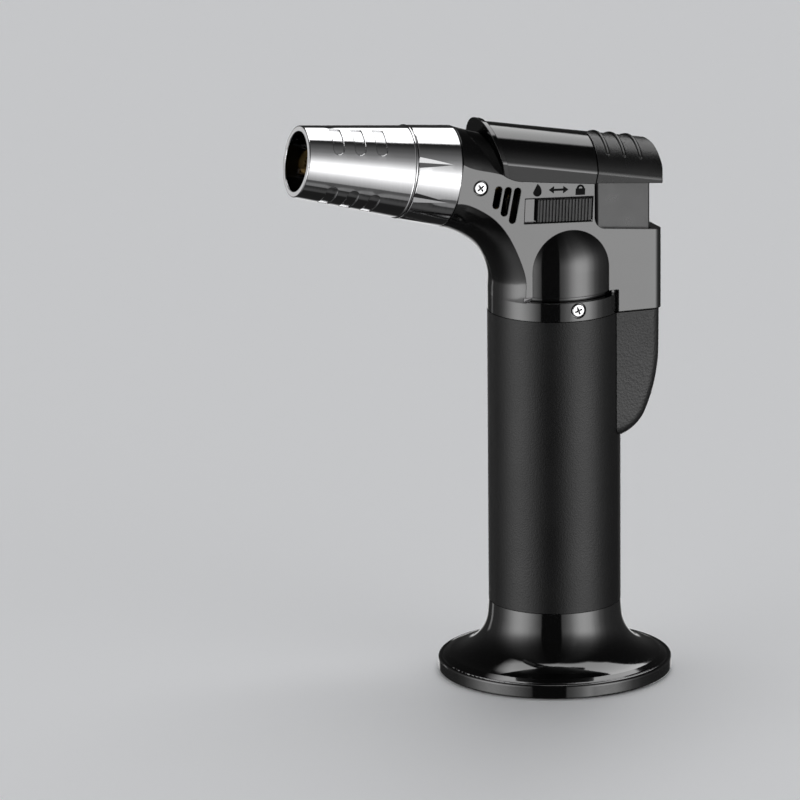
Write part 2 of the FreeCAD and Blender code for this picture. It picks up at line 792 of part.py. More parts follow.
def screw_seat_cuts():
    """Counterbored holes: two across the ring and two beside the barrel."""
    cuts = []
    x, z = BURNER_SCREW_AT
    for side in (-1, 1):
        cuts.append(rod(2.1, V(0, side * 16.85, RING_SCREW_Z), V(0, side * 20, RING_SCREW_Z)))
        cuts.append(rod(1.0, V(0, side * 14, RING_SCREW_Z), V(0, side * 20, RING_SCREW_Z)))
        cuts.append(rod(2.05, V(x, side * 11.5, z), V(x, side * 16, z)))
        cuts.append(rod(1.0, V(x, side * 10, z), V(x, side * 16, z)))
    return Part.makeCompound(cuts)


def pan_screw(length):
    """A small cross-recessed screw about Z: its head's underside is at zero and it points down."""
    head = turned([
        (0, 0),
        (SCREW_HEAD_R, 0),
        (SCREW_HEAD_R, 0.35),
        ((SCREW_HEAD_R - 0.08, 0.56), (SCREW_HEAD_R - 0.35, 0.68)),
        (0, 0.76),
    ])
    shank = Part.makeCylinder(SCREW_SHANK_R, length - 0.9, V(0, 0, 0.9 - length))
    point = Part.makeCone(0.25, SCREW_SHANK_R, 0.9, V(0, 0, -length))
    arm = (-1.05, 1.05)
    slit = (-0.23, 0.23)
    depth = (0.15, 2)
    pit = Part.makeCone(0.1, 0.62, 1.3, V(0, 0, -0.6))
    recess = [box(arm, slit, depth), box(slit, arm, depth), pit]
    return fuse([head, shank, point]).cut(Part.makeCompound(recess))


def screw_pair(x, y, z, length, turn):
    """The same screw in the left and the right side, driven inwards."""
    screws = []
    for side in (-1, 1):
        screw = pan_screw(length)
        screw.rotate(O, Z_AXIS, turn)
        screw.rotate(O, X_AXIS, -90 * side)
        screw.translate(V(x, side * y, z))
        screws.append(screw)
    return Part.makeCompound(screws)


def ring_screws():
    return screw_pair(0, 16.9, RING_SCREW_Z, 3.6, 20)


def burner_screws():
    x, z = BURNER_SCREW_AT
    return screw_pair(x, 11.55, z, 3.4, 35)


# ---------- roof, rear cover ----------

def crown_section(inset, rise=0.0):
    """The roof's section, extruded along the nozzle axis."""
    radius = CROWN_R - inset + rise
    edge = math.radians(CROWN_EDGE_ANGLE)
    edge_up = CROWN_CENTRE + radius * math.sin(edge)
    edge_out = radius * math.cos(edge)
    foot_out = SIDE_Y - inset - 0.1 + rise
    corner = 0.5
    points = [
        (-6.0, -foot_out),
        (1.5, -foot_out),
        (edge_up - corner, -edge_out - 0.08),
        ((edge_up - 0.1, -edge_out - 0.02), (edge_up + corner, -radius * math.cos(edge + 0.04))),
        ((CROWN_CENTRE + radius, 0.0), (edge_up + corner, radius * math.cos(edge + 0.04))),
        ((edge_up - 0.1, edge_out + 0.02), (edge_up - corner, edge_out + 0.08)),
        (1.5, foot_out),
        (-6.0, foot_out),
    ]
    edges = edges_through(points, lambda up, out: V(up, out, 12.0))
    section = Part.Face(Part.Wire(edges))
    return along_nozzle(section.extrude(V(0, 0, -76.0)))


def crest_slab(thickness, behind):
    """A leaning slab behind the crest's plane, which runs up and forwards."""
    lean = math.degrees(math.atan2(3.0, 15.4))
    slab = box((behind, behind + thickness), (-30, 30), (-20, 30))
    slab.rotate(O, Y_AXIS, -lean)
    slab.translate(V(-18.9, 0, 139.1))
    return slab


def top_cover():
    """The roof in front of the trigger, with a raised crest at its front end."""
    region = cover_line_region(30.0)
    roof = crown_section(0.0).common(region)
    crest = crown_section(0.0, CREST_RISE).common(region).common(crest_slab(1.3, 0.0))
    inside = crown_section(COVER_WALL).common(crest_slab(40.0, COVER_WALL))
    passage = along_nozzle(Part.makeCylinder(9.0, 30.0, V(0, 0, -25.0)))
    return fuse([roof, crest]).cut(inside).cut(passage)


def cap_region(inset):
    """The side view of the trigger cap: level edge below, a small curve at the top of its rear."""
    rear = BLOCK_REAR_X - inset
    top = 143.75 - inset
    curve = 1.9
    return side_prism([
        (7.3 + inset, 134.75 - 3 * inset),
        (rear, 133.25 - 3 * inset),
        (rear, top - curve),
        ((rear - 0.3 * curve, top - 0.22 * curve), (rear - curve, top + 0.3)),
        (rear - curve, 150.0 - inset),
        (9.5 + inset, 150.0 - inset),
    ], 30.0)


def cap_form(inset):
    plan = box((-REACH, BLOCK_REAR_X - inset), (-14, 14), (0, 200))
    rear_edges = [e for e in plan.Edges if upright(e) and e.CenterOfMass.x > 0]
    plan = plan.makeFillet(3.6 - inset, rear_edges)
    return crown_section(inset).common(cap_region(inset)).common(plan)


def grip_ridge(s):
    """A half-round rib across the crown, with round ends."""
    centre = V(CROWN_CENTRE, 0, s)
    start = math.radians(RIDGE_END_ANGLE)
    out = CROWN_R - 0.12
    first = centre + V(math.sin(start), -math.cos(start), 0) * out
    last = centre + V(math.sin(start), math.cos(start), 0) * out
    along = V(math.cos(start), math.sin(start), 0)
    section = Part.Face(Part.Wire(Part.makeCircle(RIDGE_R, first, along)))
    rib = section.revolve(centre, Z_AXIS, 180 - 2 * RIDGE_END_ANGLE)
    return along_nozzle(fuse([rib, Part.makeSphere(RIDGE_R, first), Part.makeSphere(RIDGE_R, last)]))


def trigger_cap():
    """The thumb piece that carries on the roof's line, with three raised grip ridges."""
    ridges = [grip_ridge(s) for s in RIDGES_AT]
    return fuse([cap_form(0.0)] + ridges).cut(cap_form(1.4))


def trigger_slider():
    """The box under the cap that slides down into the head. Its fingers press the lever and the igniter."""
    x = SLIDER_X
    wall = 1.4
    top_z = 134.6
    outer = box(x, (-SLIDER_Y, SLIDER_Y), (SLIDER_BOTTOM_Z, top_z))
    outer = outer.makeFillet(0.8, [e for e in outer.Edges if upright(e)])
    under_cap = side_prism([(0, 100), (30, 100), (30, 132.8), (x[1], 133.5), (x[0], top_z), (0, 135.3)], 30)
    outer = outer.common(under_cap)
    plug = box((9.6, 20.5), (-CAVITY_SIDE_Y, CAVITY_SIDE_Y), (130.0, 136.8))
    inside_y = SLIDER_Y - wall
    hollow = box((x[0] + wall, x[1] - wall), (-inside_y, inside_y), (SLIDER_BOTTOM_Z, 131.0))
    lever_finger = box((12.2, 15.2), (-2.2, 2.2), (LEVER_PIVOT[1] + LEVER_PAD_R + 0.1, 132.0))
    spark_finger = box((19.6, x[1]), (-1.9, 1.9), (PLUNGER_TOP_Z + 0.05, 132.0))
    return fuse([fuse([outer, plug]).cut(hollow), lever_finger, spark_finger])


def rear_cover():
    """The rounded cover behind the handle that the igniter stands in."""
    half_width = SIDE_Y - 0.1
    wall = 1.4
    form = side_prism([
        (8.0, RING_Z[0] - 0.1),
        (26.2, RING_Z[0] - 0.1),
        (26.1, 90.0),
        ((25.0, 79.6), (21.9, 70.7)),
        ((19.3, 67.5), (14.8, 65.1)),
        (8.0, 63.5),
    ], half_width)
    side_edges = [e for e in form.Edges if abs(abs(e.CenterOfMass.y) - half_width) < 0.01]
    rear = [e for e in side_edges if e.CenterOfMass.x > 15 and e.CenterOfMass.z < BLOCK_BOTTOM_Z - 1]
    form = form.makeFillet(3.2, rear)
    room = side_prism([
        (8.0, 101.0),
        (24.7, 101.0),
        (24.7, 90.0),
        ((23.6, 80.0), (21.0, 72.3)),
        (18.0, 68.0),
        (8.0, 68.0),
    ], half_width - wall)
    shell = form.cut(Part.makeCylinder(SLEEVE_R + 0.06, 60, V(0, 0, 50))).cut(room)
    ribs = []
    for z in (76.0, 92.0):
        for side in (-1, 1):
            near, far = sorted((side * (PIEZO_Y + 0.1), side * (half_width - 1.0)))
            ribs.append(box((18.3, 23.4), (near, far), (z, z + 1.2)))
    return fuse([shell] + ribs)


# ---------- igniter ----------

def piezo_body():
    """The spark unit: a block with a bore for its plunger."""
    body = box(PIEZO_X, (-PIEZO_Y, PIEZO_Y), PIEZO_Z)
    bore = box((19.0, 22.7), (-2.0, 2.0), (88.0, PIEZO_Z[1]))
    foot_cut = side_prism([(24.0, 85.0), (24.0, 75.0), (21.6, 75.0)], 20.0)
    return body.cut(bore).cut(foot_cut)


def piezo_plunger():
    return box((19.1, 22.6), (-1.9, 1.9), (100.0, PLUNGER_TOP_Z))


def piezo_spring():
    spring = coil(1.45, 0.25, (88.05, 99.95), 8)
    spring.translate(V(20.85, 0, 0))
    return spring


def ignition_wire():
    """The insulated wire from the spark unit up and forwards to the electrode."""
    route = rounded_route([
        nozzle_point(-8.05, ELECTRODE_OFFSET),
        nozzle_point(-16.0, ELECTRODE_OFFSET, 0.5),
        V(-6.5, 3.6, 139.3),
        V(0.8, 6.6, 136.0),
        V(4.0, 7.8, 128.5),
        V(4.4, 8.0, 119.0),
        V(6.4, 7.6, 110.6),
        V(11.6, 6.0, 105.6),
        V(PIEZO_X[0] - 0.3, 3.2, 104.7),
    ])
    return along_route(route, 0.55)


# ---------- lock ----------

def lock_slider():
    """The ribbed knob in the left side's window, on a stem that reaches through the slot."""
    half_x = WINDOW_SIZE[0] / 2
    rear = half_x - 0.2
    front = rear - KNOB_LENGTH
    knob = box((front, rear), (-12.5, -11.25), (-2.95, 2.95))
    pitch = (KNOB_LENGTH - 0.6) / RIB_COUNT
    ribs = []
    for index in range(RIB_COUNT):
        x = front + 0.3 + pitch * (index + 0.5)
        ribs.append(box((x - 0.28 * pitch, x + 0.28 * pitch), (-12.85, -12.4), (-2.95, 2.95)))
    stem = box((-2.1, 7.2), (-11.3, -9.7), (-0.9, 0.9))
    return in_window_frame(fuse([knob] + ribs + [stem]))


def lock_clip():
    """The plate inside that holds the knob's stem in its slot."""
    plate = box((-3.4, 8.5), (-10.0, -9.3), (-2.6, 2.6))
    stem_hole = box((-2.15, 7.25), (-11, -9), (-0.95, 0.95))
    return in_window_frame(plate.cut(stem_hole))


def lock_marks():
    """Raised signs above the window: a flame, a two-way arrow and a padlock."""
    signs = []
    for sign, x in ((flame_sign(), -6.3), (arrow_sign(), -0.3), (padlock_sign(), 5.9)):
        sign.translate(V(x, -SIDE_Y - SIGN_RAISE, SIGN_HEIGHT))
        signs.append(sign)
    return in_window_frame(Part.makeCompound(signs))


def plate(edges):
    """A thin plate with its front at y = 0, from the edges round it."""
    return Part.Face(Part.Wire(edges)).extrude(V(0, SIGN_RAISE - 0.01, 0))


def flame_sign():
    outline = [
        (0.0, 1.75),
        ((1.02, 0.4), (1.15, -0.55)),
        ((0.0, -1.6), (-1.15, -0.55)),
        ((-0.65, 0.5), (0.0, 1.75)),
    ]
    return plate(edges_through(outline, lambda x, z: V(x, 0, z)))


def arrow_sign():
    bar = 0.27
    neck_x = 1.35
    tip_x = 2.75
    barb = 0.95
    right = [(neck_x, bar), (neck_x, barb), (tip_x, 0), (neck_x, -barb), (neck_x, -bar)]
    left = [(-x, -z) for x, z in right]
    return plate(edges_through(right + left, lambda x, z: V(x, 0, z)))


def padlock_sign():
    body_top = 0.1
    hoop_r = 1.05
    hoop_bore = 0.55
    outline = [
        (-1.3, -1.6),
        (1.3, -1.6),
        (1.3, body_top),
        (hoop_r, body_top),
        ((0, body_top + hoop_r), (-hoop_r, body_top)),
        (-1.3, body_top),
    ]
    hole = [
        (-hoop_bore, body_top),
        (hoop_bore, body_top),
        ((0, body_top + hoop_bore), (-hoop_bore, body_top)),
    ]
    solid = plate(edges_through(outline, lambda x, z: V(x, 0, z)))
    return solid.cut(plate(edges_through(hole, lambda x, z: V(x, 0, z))))


# ---------- export ----------

def main():
    os.makedirs("parts", exist_ok=True)
    left, right = head_shells()
    nodes = {
        "base_stand": base_stand(),
        "grip_sleeve": grip_sleeve(),
        "fuel_tank": fuel_tank(),
        "tank_lid": tank_lid(),
        "fill_valve_body": fill_valve_body(),
        "fill_valve_stem": fill_valve_stem(),
        "fill_valve_seal": fill_valve_seal(),
        "fill_valve_spring": fill_valve_spring(),
        "fuel_wick": fuel_wick(),
        "outlet_valve_body": outlet_valve_body(),
        "outlet_valve_stem": outlet_valve_stem(),
        "outlet_valve_seal": outlet_valve_seal(),
        "outlet_valve_spring": outlet_valve_spring(),
        "lever_bracket": lever_bracket(),
        "lever_pin": lever_pin(),
        "valve_lever": valve_lever(),
        "burner_mount": burner_mount(),
        "mixing_tube": mixing_tube(),
        "gas_jet": gas_jet(),
        "gas_hose": gas_hose(),
        "flame_holder": flame_holder(),
        "electrode_insulator": electrode_insulator(),
        "spark_electrode": spark_electrode(),
        "flame_tube": flame_tube(),
        "air_ring": air_ring(),
        "head_shell_left": left,
        "head_shell_right": right,
        "ring_screws": ring_screws(),
        "burner_screws": burner_screws(),
        "top_cover": top_cover(),
        "trigger_cap": trigger_cap(),
        "trigger_slider": trigger_slider(),
        "rear_cover": rear_cover(),
        "piezo_body": piezo_body(),
        "piezo_plunger": piezo_plunger(),
        "piezo_spring": piezo_spring(),
        "ignition_wire": ignition_wire(),
        "lock_slider": lock_slider(),
        "lock_clip": lock_clip(),
        "lock_marks": lock_marks(),
    }
    for name, shape in nodes.items():
        shape.exportStep("parts/%s.step" % name)


main()
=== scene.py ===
"""A butane torch on its round foot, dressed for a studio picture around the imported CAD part.

Lengths are in metres. Angles are in degrees, except where math.radians turns them.
"""

import math

import bpy
from mathutils import Matrix, Vector


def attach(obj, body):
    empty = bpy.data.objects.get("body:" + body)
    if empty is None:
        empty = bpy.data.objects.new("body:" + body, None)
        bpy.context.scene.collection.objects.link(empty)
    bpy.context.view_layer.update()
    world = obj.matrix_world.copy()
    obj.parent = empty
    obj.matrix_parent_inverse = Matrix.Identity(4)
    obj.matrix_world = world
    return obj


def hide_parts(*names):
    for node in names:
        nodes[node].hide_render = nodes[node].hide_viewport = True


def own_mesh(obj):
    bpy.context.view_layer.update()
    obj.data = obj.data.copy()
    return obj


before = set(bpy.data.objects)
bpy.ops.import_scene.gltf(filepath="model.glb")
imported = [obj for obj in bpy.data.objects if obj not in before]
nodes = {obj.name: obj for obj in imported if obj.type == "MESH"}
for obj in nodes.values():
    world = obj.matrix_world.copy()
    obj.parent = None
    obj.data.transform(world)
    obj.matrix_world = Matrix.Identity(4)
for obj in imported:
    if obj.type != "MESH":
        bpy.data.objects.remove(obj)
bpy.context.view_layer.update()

MM = 0.001
MICRON = 0.000001

# ---------------------------------------------------------------- camera
LOOK_AZIMUTH = math.radians(-20.575)
LOOK_ELEVATION = math.radians(14.106)
LOOK_ROLL = math.radians(0.528)
LOOK_DISTANCE = 1.77375
LOOK_TARGET = Vector((0, 0, 0.075))
LOOK_OFFSET = (0.0410, 0.00112)  # where the target lies from the picture's middle, right and up
LENS_IN_MM = 299.72
SENSOR_IN_MM = 36
CLIP_NEAR = 0.05
CLIP_FAR = 60


def look_at_torch():
    """A long lens at the front left, a little above the torch."""
    a, e, roll = LOOK_AZIMUTH, LOOK_ELEVATION, LOOK_ROLL
    back = Vector((math.sin(a) * math.cos(e), -math.cos(a) * math.cos(e), math.sin(e)))
    right = Vector((math.cos(a), math.sin(a), 0))
    up = back.cross(right)
    rolled_right = right * math.cos(roll) - up * math.sin(roll)
    rolled_up = right * math.sin(roll) + up * math.cos(roll)
    aim = LOOK_TARGET - rolled_right * LOOK_OFFSET[0] - rolled_up * LOOK_OFFSET[1]
    place = aim + back * LOOK_DISTANCE
    turn = Matrix((rolled_right, rolled_up, back)).transposed().to_4x4()
    data = bpy.data.cameras.new("camera")
    data.lens = LENS_IN_MM
    data.sensor_width = SENSOR_IN_MM
    data.clip_start = CLIP_NEAR
    data.clip_end = CLIP_FAR
    camera = bpy.data.objects.new("camera", data)
    camera.matrix_world = Matrix.Translation(place) @ turn
    bpy.context.scene.collection.objects.link(camera)
    bpy.context.scene.camera = camera


# ---------------------------------------------------------------- node helpers
class Nodes:
    """Short ways to add shader nodes to a tree and join them."""

    def __init__(self, tree):
        self.tree = tree

    def add(self, kind, **settings):
        node = self.tree.nodes.new(kind)
        for key, value in settings.items():
            setattr(node, key, value)
        return node

    def put(self, socket, value):
        if isinstance(value, bpy.types.NodeSocket):
            self.tree.links.new(value, socket)
        else:
            socket.default_value = value

    def math(self, operation, a, b=0.0):
        node = self.add("ShaderNodeMath", operation=operation)
        self.put(node.inputs[0], a)
        self.put(node.inputs[1], b)
        return node.outputs[0]

    def spread(self, value, low, high, to_low=0.0, to_high=1.0, kind="LINEAR"):
        node = self.add("ShaderNodeMapRange", interpolation_type=kind)
        self.put(node.inputs["Value"], value)
        self.put(node.inputs["From Min"], low)
        self.put(node.inputs["From Max"], high)
        self.put(node.inputs["To Min"], to_low)
        self.put(node.inputs["To Max"], to_high)
        return node.outputs["Result"]

    def band(self, value, rise, fall):
        """One between two edges, each (where it is dark, where it is full)."""
        return self.math("MULTIPLY", self.spread(value, *rise), self.spread(value, *fall))

    def curve(self, value, stops, low, high):
        """Straight runs through (where, value) stops, with where between low and high."""
        node = self.add("ShaderNodeValToRGB")
        self.put(node.inputs["Fac"], self.spread(value, low, high))
        elements = node.color_ramp.elements
        elements.remove(elements[1])
        for index, (where, level) in enumerate(stops):
            share = (where - low) / (high - low)
            element = elements[0] if index == 0 else elements.new(share)
            element.position = share
            element.color = (level, level, level, 1)
        return node.outputs["Color"]

    def blend(self, share, first, second):
        node = self.add("ShaderNodeMix", data_type="RGBA")
        self.put(node.inputs["Factor"], share)
        self.put(node.inputs["A"], first)
        self.put(node.inputs["B"], second)
        return node.outputs["Result"]

    def noise(self, scale, detail=3.0, stretch=(1, 1, 1), roughness=0.55):
        place = self.add("ShaderNodeMapping")
        self.put(place.inputs["Vector"], self.add("ShaderNodeTexCoord").outputs["Object"])
        place.inputs["Scale"].default_value = stretch
        node = self.add("ShaderNodeTexNoise")
        self.put(node.inputs["Vector"], place.outputs[0])
        node.inputs["Scale"].default_value = scale
        node.inputs["Detail"].default_value = detail
        node.inputs["Roughness"].default_value = roughness
        return node.outputs["Fac"]

    def cells(self, scale):
        node = self.add("ShaderNodeTexVoronoi")
        self.put(node.inputs["Vector"], self.add("ShaderNodeTexCoord").outputs["Object"])
        node.inputs["Scale"].default_value = scale
        return node.outputs["Distance"]


# ---------------------------------------------------------------- light and stage
# The light is soft boxes painted by direction on the surroundings. An azimuth runs from -Y (0) towards -X (90),
# and an elevation from the horizon (0) to straight up (90). Each stop is (angle, share of the box's peak).
RIGHT_BOX = [(-180, 0.01), (-140, 0.012), (-110, 0.02), (-90, 0.035), (-74, 0.07), (-62, 0.18),
             (-51, 0.49), (-41, 0.87), (-30, 1.0), (-22, 0.95), (-13, 0.7), (-4, 0.36), (4, 0.2),
             (10, 0.13), (11, 0.0)]
LEFT_BOX = [(44, 0.0), (45, 0.13), (52, 0.28), (60, 0.5), (70, 0.8), (80, 0.98), (85, 1.0), (93, 0.9),
            (100, 0.7), (106, 0.5), (112, 0.33), (118, 0.2), (124, 0.11), (135, 0.05), (160, 0.02),
            (180, 0.012)]
BACK_BOX = [(-180, 0.0), (-172, 0.85), (-158, 1.0), (-146, 0.85), (-136, 0.0), (180, 0.0)]
RIGHT_PEAK = 4.2
LEFT_PEAK = 3.9
BACK_PEAK = 1.1

# How the right and left boxes fade up and down. The middle, straight in front, has its own stops.
BOX_HEIGHTS = [(-90, 0.01), (-60, 0.04), (-42, 0.13), (-30, 0.2), (-25, 0.24), (-20, 0.34), (-17, 0.46),
               (-14.5, 0.95), (-10, 1.0), (0, 1.0), (6, 0.9), (12, 0.66), (17, 0.44), (23, 0.27),
               (31, 0.14), (40, 0.07), (52, 0.035), (70, 0.012), (90, 0.006)]
MIDDLE_HEIGHTS = [(-90, 0.012), (-66, 0.012), (-64, 0.12), (-57, 0.14), (-52, 0.06), (-46, 0.06),
                  (-45, 0.25), (-41, 0.3), (-31, 0.45), (-22, 0.65), (-14, 0.95), (0, 1.0), (6, 0.85),
                  (12, 0.62), (17, 0.44), (23, 0.3), (31, 0.2), (40, 0.1), (52, 0.045), (62, 0.02),
                  (90, 0.008)]

# Bands of angles, each as two edges: (dark, full) on one side and (dark, full) on the other.
MIDDLE = ((-18, -12), (20, 12))
BACK_HEIGHTS = ((-45, -28), (-6, -11))
CARD_ACROSS = ((152, 155), (162, 159))
CARD_UP = ((-16, -13), (3, 0))
CARD_LEVEL = 0.8
AMBIENT = 0.02

# The overhead panel's edges are lines in the level plane one unit up, with x to the right and y to the back.
PANEL_LEVEL = 3.0
PANEL_NEAR = -0.1
PANEL_LEFT_SLOPE = 0.8
PANEL_RIGHT_BEND = 0.42
PANEL_RIGHT_SLOPE = 1.2
PANEL_END_FOOT = 0.63
PANEL_END_SLOPE = 4.0
PANEL_FAR = 0.95
PANEL_NEAR_FADE = (-0.06, 0.06)
PANEL_FAR_FADE = (-0.05, 0.25)
PANEL_SIDES = ((-0.6, -0.3), (1.9, 1.4))
PANEL_LOWEST = 0.03
UP_AT_LEAST = 0.02

PAPER = (0.8, 0.81, 0.83, 1)
FLOOR_PAINT = (0.93, 0.94, 0.96, 1)
FLOOR_ROUGHNESS = 0.9
FLOOR_HALF_SIDE = 20
FLOOR_DROP = 0.1 * MM


def light_rig():
    """The boxes, the overhead panel and the card light the torch. The camera sees plain pale paper instead."""
    world = bpy.data.worlds.new("world")
    bpy.context.scene.world = world
    world.use_nodes = True
    world.node_tree.nodes.clear()
    n = Nodes(world.node_tree)
    split = n.add("ShaderNodeSeparateXYZ")
    n.put(split.inputs[0], n.add("ShaderNodeTexCoord").outputs["Generated"])
    x, y, z = split.outputs
    azimuth = n.math("DEGREES", n.math("ARCTAN2", n.math("MULTIPLY", x, -1.0), n.math("MULTIPLY", y, -1.0)))
    elevation = n.math("DEGREES", n.math("ARCSINE", z))
    lights = [
        side_boxes(n, azimuth, elevation),
        back_box(n, azimuth, elevation),
        overhead_panel(n, x, y, z),
        mouth_card(n, azimuth, elevation),
    ]
    total = AMBIENT
    for light in lights:
        total = n.math("ADD", light, total)
    studio = n.add("ShaderNodeBackground")
    n.put(studio.inputs["Strength"], total)
    paper = n.add("ShaderNodeBackground")
    paper.inputs["Color"].default_value = PAPER
    mix = n.add("ShaderNodeMixShader")
    n.put(mix.inputs["Fac"], n.add("ShaderNodeLightPath").outputs["Is Camera Ray"])
    n.put(mix.inputs[1], studio.outputs[0])
    n.put(mix.inputs[2], paper.outputs[0])
    n.put(n.add("ShaderNodeOutputWorld").inputs["Surface"], mix.outputs[0])


def side_boxes(n, azimuth, elevation):
    right = n.math("MULTIPLY", n.curve(azimuth, RIGHT_BOX, -180, 180), RIGHT_PEAK)
    left = n.math("MULTIPLY", n.curve(azimuth, LEFT_BOX, -180, 180), LEFT_PEAK)
    plain = n.curve(elevation, BOX_HEIGHTS, -90, 90)
    heights = n.blend(n.band(azimuth, *MIDDLE), plain, n.curve(elevation, MIDDLE_HEIGHTS, -90, 90))
    return n.math("MULTIPLY", n.math("ADD", right, left), heights)


def back_box(n, azimuth, elevation):
    """A weak low box behind, so that the far side isn't lost in the dark."""
    across = n.math("MULTIPLY", n.curve(azimuth, BACK_BOX, -180, 180), BACK_PEAK)
    return n.math("MULTIPLY", across, n.band(elevation, *BACK_HEIGHTS))


def mouth_card(n, azimuth, elevation):
    """A small card whose reflection lights the rim of the flame tube's mouth."""
    card = n.math("MULTIPLY", n.band(azimuth, *CARD_ACROSS), n.band(elevation, *CARD_UP))
    return n.math("MULTIPLY", card, CARD_LEVEL)


def overhead_panel(n, x, y, z):
    """A level panel above and behind."""
    up = n.math("MAXIMUM", z, UP_AT_LEAST)
    across = n.math("DIVIDE", x, up)
    back = n.math("DIVIDE", y, up)
    past_bend = n.math("MAXIMUM", n.math("SUBTRACT", across, PANEL_RIGHT_BEND), 0.0)
    past_left = n.math("MAXIMUM", n.math("MULTIPLY", across, -1.0), 0.0)
    slopes = n.math("ADD", n.math("MULTIPLY", past_bend, PANEL_RIGHT_SLOPE),
                    n.math("MULTIPLY", past_left, PANEL_LEFT_SLOPE))
    right_end = n.math("MULTIPLY", n.math("SUBTRACT", across, PANEL_END_FOOT), PANEL_END_SLOPE)
    near = n.math("MAXIMUM", n.math("ADD", slopes, PANEL_NEAR), right_end)
    far = n.math("ADD", across, PANEL_FAR)
    behind_near = n.spread(n.math("SUBTRACT", back, near), *PANEL_NEAR_FADE, kind="SMOOTHSTEP")
    before_far = n.spread(n.math("SUBTRACT", far, back), *PANEL_FAR_FADE, kind="SMOOTHSTEP")
    lit = n.math("MULTIPLY", n.math("MULTIPLY", behind_near, before_far), n.band(across, *PANEL_SIDES))
    above = n.math("GREATER_THAN", z, PANEL_LOWEST)
    return n.math("MULTIPLY", n.math("MULTIPLY", lit, above), PANEL_LEVEL)


def pale_floor():
    """A plain floor that isn't seen in the torch's gloss and blocks no light from below."""
    half = FLOOR_HALF_SIDE
    mesh = bpy.data.meshes.new("floor")
    corners = [(-half, -half, 0), (half, -half, 0), (half, half, 0), (-half, half, 0)]
    mesh.from_pydata(corners, [], [(0, 1, 2, 3)])
    floor = bpy.data.objects.new("floor", mesh)
    bpy.context.scene.collection.objects.link(floor)
    floor.location.z = -FLOOR_DROP
    floor.visible_glossy = False
    floor.visible_shadow = False
    paint = bpy.data.materials.new("floor_paint")
    paint.use_nodes = True
    shader = paint.node_tree.nodes["Principled BSDF"]
    shader.inputs["Base Color"].default_value = FLOOR_PAINT
    shader.inputs["Roughness"].default_value = FLOOR_ROUGHNESS
    shader.inputs["Specular IOR Level"].default_value = 0.0
    mesh.materials.append(paint)


# ---------------------------------------------------------------- materials
# Noise stays near its middle, so this is the part of its range that spreads over a material's roughness.
NOISE_RANGE = (0.3, 0.7)
EDGE_SAMPLES = 6
SHADE_SAMPLES = 8


class Coat:
    """A principled material made of patches: tone, roughness and relief each vary over the surface."""

    def __init__(self, name):
        self.material = bpy.data.materials.new(name)
        self.material.use_nodes = True
        self.shader = self.material.node_tree.nodes["Principled BSDF"]
        self.n = Nodes(self.material.node_tree)
        self.normal = None

    def set(self, **levels):
        """Levels that are the same all over, by the shader's socket names with _ for each space."""
        for name, level in levels.items():
            self.shader.inputs[name.replace("_", " ")].default_value = level
        return self

    def tone(self, share, dark, light):
        self.n.put(self.shader.inputs["Base Color"], self.n.blend(share, (*dark, 1), (*light, 1)))

    def roughness(self, share, low, high):
        self.n.put(self.shader.inputs["Roughness"], self.n.spread(share, *NOISE_RANGE, low, high))

    def soft_edges(self, radius):
        bevel = self.n.add("ShaderNodeBevel", samples=EDGE_SAMPLES)
        bevel.inputs["Radius"].default_value = radius
        self.normal = bevel.outputs[0]
        self.n.put(self.shader.inputs["Normal"], self.normal)

    def relief(self, height, depth, strength=1.0):
        bump = self.n.add("ShaderNodeBump")
        bump.inputs["Distance"].default_value = depth
        bump.inputs["Strength"].default_value = strength
        self.n.put(bump.inputs["Height"], height)
        if self.normal is not None:
            self.n.put(bump.inputs["Normal"], self.normal)
        self.normal = bump.outputs[0]
        self.n.put(self.shader.inputs["Normal"], self.normal)


def grey(level):
    """A black plastic's grey, which is a touch blue."""
    return (level, level, level * 1.04)


def gloss_black():
    """Polished black shell: faint mould ripple and a few duller smears."""
    c = Coat("gloss_black").set(Specular_IOR_Level=1.0)
    c.soft_edges(radius=0.25 * MM)
    c.tone(c.n.noise(scale=60), dark=grey(0.0016), light=grey(0.003))
    c.roughness(c.n.noise(scale=45, detail=5, stretch=(1, 1, 2.5)), low=0.04, high=0.085)
    c.relief(c.n.noise(scale=420, detail=2), depth=4 * MICRON)
    return c.material


def satin_black(name, level, rough, spec):
    """Fine spark-eroded plastic."""
    c = Coat(name).set(Specular_IOR_Level=spec)
    c.soft_edges(radius=0.22 * MM)
    c.tone(c.n.noise(scale=90), dark=grey(level * 0.7), light=grey(level * 1.3))
    c.roughness(c.n.noise(scale=140, detail=4), low=rough - 0.03, high=rough + 0.05)
    c.relief(c.n.noise(scale=5200), depth=20 * MICRON)
    return c.material


def grip_skin():
    """Soft-touch sleeve with a close pebble grain, rubbed smoother in places."""
    c = Coat("grip_skin").set(Specular_IOR_Level=0.44)
    c.tone(c.n.noise(scale=70, detail=4), dark=grey(0.0028), light=grey(0.006))
    c.roughness(c.n.noise(scale=38, detail=5), low=0.34, high=0.42)
    c.relief(c.n.cells(scale=2600), depth=30 * MICRON, strength=0.8)
    c.relief(c.n.noise(scale=900, detail=4), depth=20 * MICRON)
    return c.material


def cover_skin():
    """Coarser leather-like grain of the rear cover."""
    c = Coat("cover_skin").set(Specular_IOR_Level=0.6)
    c.soft_edges(radius=0.3 * MM)
    c.tone(c.n.noise(scale=120, detail=4), dark=grey(0.005), light=grey(0.011))
    c.roughness(c.n.noise(scale=60, detail=4), low=0.38, high=0.48)
    c.relief(c.n.cells(scale=1500), depth=70 * MICRON, strength=0.9)
    c.relief(c.n.noise(scale=3600), depth=30 * MICRON)
    return c.material


